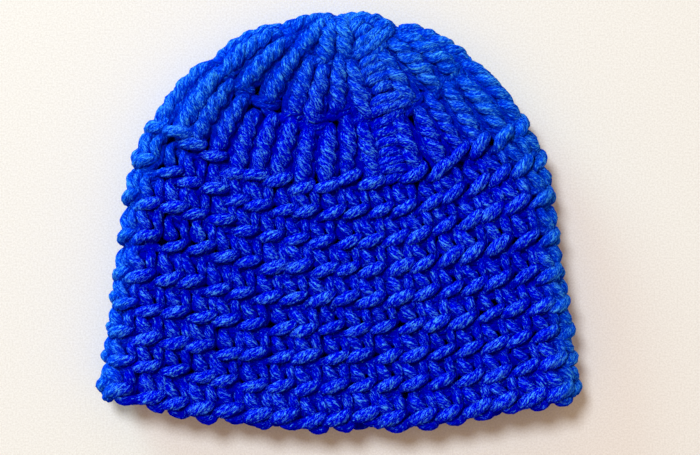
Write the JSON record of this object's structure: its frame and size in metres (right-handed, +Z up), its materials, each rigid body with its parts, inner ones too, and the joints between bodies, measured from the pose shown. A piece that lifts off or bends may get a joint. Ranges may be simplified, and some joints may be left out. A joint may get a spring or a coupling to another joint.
{
  "type": "crocheted beanie cap",
  "caption": "Brimless crocheted beanie in thick plied yarn, pressed flat, with an arched crown, ribbed rounds and a scalloped edge.",
  "frame": {"origin": "on the table, under the middle of the cap's bounding box", "axes": "+X across the cap, +Y from the opening to the crown, +Z up from the table"},
  "size_m": [0.2416, 0.209, 0.0306],
  "materials": {
    "yarn": "matte, slightly fuzzy plied acrylic yarn"
  },
  "bodies": {
    "root": {"starting_ring": "yarn", "crown_round_1": "yarn", "crown_round_2": "yarn", "crown_round_3": "yarn", "body_round_1": "yarn", "body_round_2": "yarn", "body_round_3": "yarn", "body_round_4": "yarn", "body_round_5": "yarn", "body_round_6": "yarn", "body_round_7": "yarn", "brim_round": "yarn", "start_tail": "yarn", "finish_tail": "yarn"}
  },
  "joints": []
}
